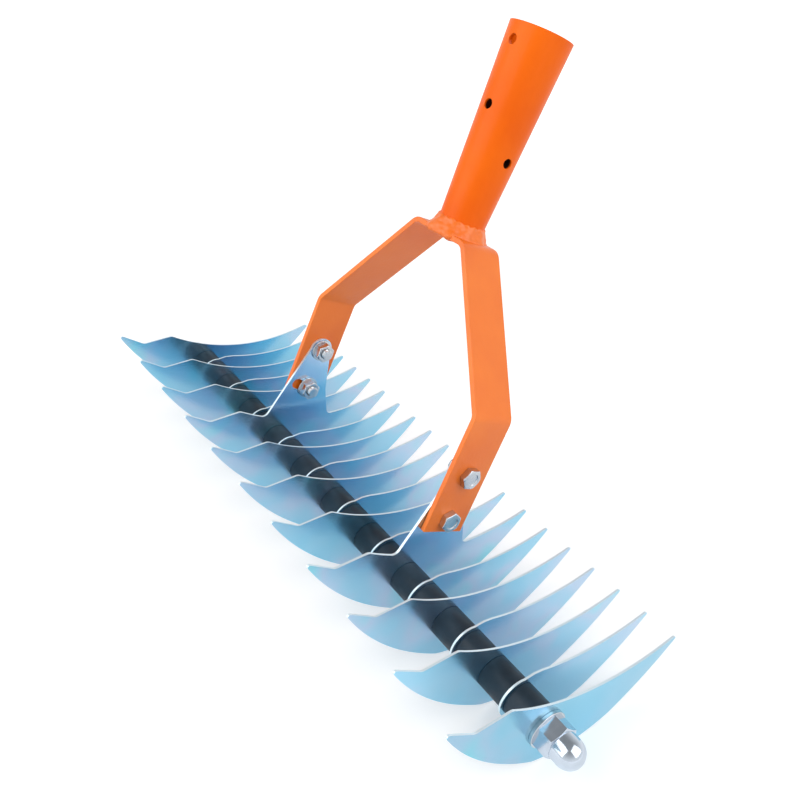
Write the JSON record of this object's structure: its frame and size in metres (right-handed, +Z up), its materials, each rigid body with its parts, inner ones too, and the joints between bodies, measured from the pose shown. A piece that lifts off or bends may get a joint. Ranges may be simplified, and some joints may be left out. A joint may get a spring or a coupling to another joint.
{
  "type": "thatch rake",
  "caption": "Thatch rake head with a row of curved plated blades and spacers on a threaded rod, and a tilting orange fork with a tapered pole socket.",
  "frame": {"origin": "middle of the socket's open mouth, where the pole goes in", "axes": "+X along the rod that carries the blades, +Z up, +Y towards the long teeth; the socket points up and towards +Y"},
  "size_m": [0.428, 0.2117, 0.2878],
  "materials": {
    "orange_paint": "glossy orange powder coat",
    "blade_zinc": "bright blue-white zinc plate",
    "spacer_plastic": "satin black plastic",
    "bright_zinc": "bright zinc plate",
    "bright_cap": "polished plate"
  },
  "bodies": {
    "fork": {"yoke": "orange_paint", "pole_socket": "orange_paint", "socket_weld": "orange_paint", "pivot_bolts": "bright_zinc", "lock_bolts": "bright_zinc", "fork_washers": "bright_zinc", "fork_nuts": "bright_zinc"},
    "head": {"double_blade_1": "blade_zinc", "double_blade_2": "blade_zinc", "double_blade_3": "blade_zinc", "double_blade_4": "blade_zinc", "double_blade_5": "blade_zinc", "double_blade_6": "blade_zinc", "double_blade_7": "blade_zinc", "double_blade_8": "blade_zinc", "double_blade_9": "blade_zinc", "single_blade_1": "blade_zinc", "single_blade_2": "blade_zinc", "single_blade_3": "blade_zinc", "single_blade_4": "blade_zinc", "single_blade_5": "blade_zinc", "single_blade_6": "blade_zinc", "single_blade_7": "blade_zinc", "single_blade_8": "blade_zinc", "single_blade_9": "blade_zinc", "single_blade_10": "blade_zinc", "bracket_blade_1": "blade_zinc", "bracket_blade_2": "blade_zinc", "spacer_1": "spacer_plastic", "spacer_2": "spacer_plastic", "spacer_3": "spacer_plastic", "spacer_4": "spacer_plastic", "spacer_5": "spacer_plastic", "spacer_6": "spacer_plastic", "spacer_7": "spacer_plastic", "spacer_8": "spacer_plastic", "spacer_9": "spacer_plastic", "spacer_10": "spacer_plastic", "spacer_11": "spacer_plastic", "spacer_12": "spacer_plastic", "spacer_13": "spacer_plastic", "spacer_14": "spacer_plastic", "spacer_15": "spacer_plastic", "spacer_16": "spacer_plastic", "spacer_17": "spacer_plastic", "spacer_18": "spacer_plastic", "spacer_19": "spacer_plastic", "spacer_20": "spacer_plastic", "threaded_rod": "bright_zinc", "end_washers": "bright_zinc", "cap_nuts": "bright_cap"}
  },
  "joints": [
    {"name": "head_tilt", "type": "hinge", "parent": "fork", "child": "head", "pos_m": [0, -0.09919, -0.19637], "axis": [1, 0, 0], "range_deg": [0, 18]}
  ]
}
